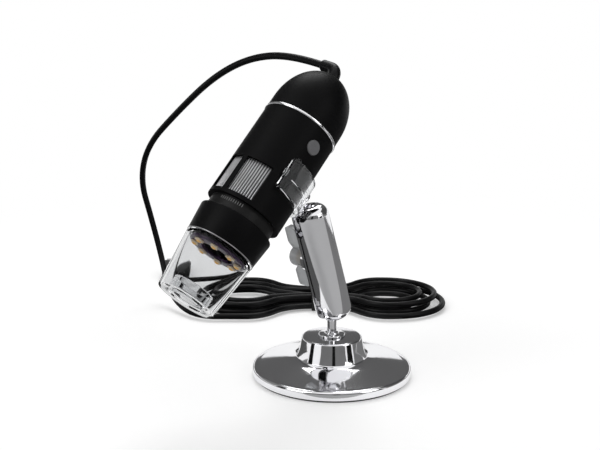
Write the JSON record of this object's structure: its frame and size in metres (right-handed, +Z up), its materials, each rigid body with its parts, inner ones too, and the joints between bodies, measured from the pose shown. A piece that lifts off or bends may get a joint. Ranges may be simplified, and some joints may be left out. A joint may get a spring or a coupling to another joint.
{
  "type": "usb digital microscope",
  "caption": "Handheld USB digital microscope in a clear clip on a ball-jointed chrome arm with a round heavy base, focus drum, clear nose cap and a coiled lead.",
  "frame": {"origin": "centre of the round base's underside", "axes": "+Z up; the picture looks along +Y with +X to the right, and the nose points to the lower left, towards the viewer"},
  "size_m": [0.1686, 0.248, 0.1382],
  "materials": {
    "chrome": "polished",
    "black_soft": "soft touch",
    "grey_button": "matte",
    "clear_plastic": "clear",
    "smoke_plastic": "clear",
    "silver_drum": "satin",
    "black_barrel": "anodised",
    "steel": "plain",
    "ballast": "rough",
    "pad_rubber": "matte",
    "cord_rubber": "satin",
    "brass_insert": "plain",
    "black_plastic": "matte",
    "board": "solder mask",
    "chip": "matte",
    "led_white": "clear",
    "lens_glass": "coated",
    "contact": "gold plated"
  },
  "bodies": {
    "base": {"base_pad": "pad_rubber", "base_shell": "chrome", "base_weight": "ballast", "cord_free": "cord_rubber", "cord_lead": "cord_rubber", "cord_hank": "cord_rubber", "cord_tie": "black_plastic", "plug_overmould": "black_plastic", "plug_shell": "steel", "plug_tongue": "black_plastic", "plug_contacts": "contact"},
    "ball_post": {"ball_post": "chrome", "post_nut": "steel"},
    "arm": {"arm_shell_front": "chrome", "arm_shell_rear": "chrome", "clamp_screw": "steel"},
    "wing_knob": {"wing_knob": "smoke_plastic", "knob_insert": "brass_insert"},
    "clip_ball": {"clip_ball": "chrome"},
    "clip": {"clip": "clear_plastic"},
    "microscope": {"rear_cap": "black_soft", "trim_ring": "chrome", "upper_housing": "black_soft", "lower_housing": "black_soft", "chassis": "black_plastic", "sensor_board": "board", "image_sensor": "chip", "main_board": "board", "board_chips": "chip", "chassis_screws": "steel", "snap_switch": "black_plastic", "switch_board": "board", "led_board": "board", "leds": "led_white", "cord_boot": "cord_rubber"},
    "focus_drum": {"focus_drum": "silver_drum"},
    "lens_barrel": {"lens_barrel": "black_barrel", "drive_pin": "steel", "front_lens": "lens_glass", "rear_lens": "lens_glass"},
    "snap_button": {"snap_button": "grey_button"},
    "nose_cap": {"nose_cap": "clear_plastic"}
  },
  "joints": [
    {"name": "post_spin", "type": "hinge", "parent": "base", "child": "ball_post", "pos_m": [0, 0, 0], "axis": [0, 0, 1], "range_deg": [-90, 90], "deforming": ["cord_free"]},
    {"name": "arm_swing", "type": "hinge", "parent": "ball_post", "child": "arm", "pos_m": [0, 0, 0.0324], "axis": [0.6018, -0.7986, 0], "range_deg": [-30, 12], "deforming": ["cord_free"]},
    {"name": "head_swing", "type": "hinge", "parent": "arm", "child": "clip_ball", "pos_m": [-0.00887, -0.00669, 0.06874], "axis": [0.6018, -0.7986, 0], "range_deg": [-25, 45], "deforming": ["cord_free"]},
    {"name": "clip_spin", "type": "hinge", "parent": "clip_ball", "child": "clip", "pos_m": [-0.00887, -0.00669, 0.06874], "axis": [-0.5841, -0.4401, 0.682], "range_deg": [-90, 90], "deforming": ["cord_free"]},
    {"name": "scope_turn", "type": "hinge", "parent": "clip", "child": "microscope", "pos_m": [-0.01413, -0.00904, 0.10743], "axis": [0.5124, 0.4517, 0.7304], "range_deg": [-180, 180], "deforming": ["cord_free"]},
    {"name": "drum_turn", "type": "hinge", "parent": "microscope", "child": "focus_drum", "pos_m": [-0.01413, -0.00904, 0.10743], "axis": [0.5124, 0.4517, 0.7304], "range_deg": [-150, 150]},
    {"name": "barrel_slide", "type": "slide", "parent": "microscope", "child": "lens_barrel", "axis": [-0.5124, -0.4517, -0.7304], "range_m": [-0.005, 0.005]},
    {"name": "button_press", "type": "slide", "parent": "microscope", "child": "snap_button", "axis": [-0.6295, 0.7761, -0.0383], "range_m": [0, 0.0005], "stiffness_N_per_m": 800, "springref_m": -0.0005},
    {"name": "cap_pull", "type": "slide", "parent": "microscope", "child": "nose_cap", "axis": [-0.5124, -0.4517, -0.7304], "range_m": [0, 0.012]},
    {"name": "knob_turn", "type": "hinge", "parent": "arm", "child": "wing_knob", "pos_m": [-0.00444, -0.00334, 0.05057], "axis": [-0.6018, 0.7986, 0], "range_deg": [-90, 90]}
  ],
  "couplings": [
    {"joint": "barrel_slide", "follows": "drum_turn", "m_per_rad": 0.0019}
  ]
}
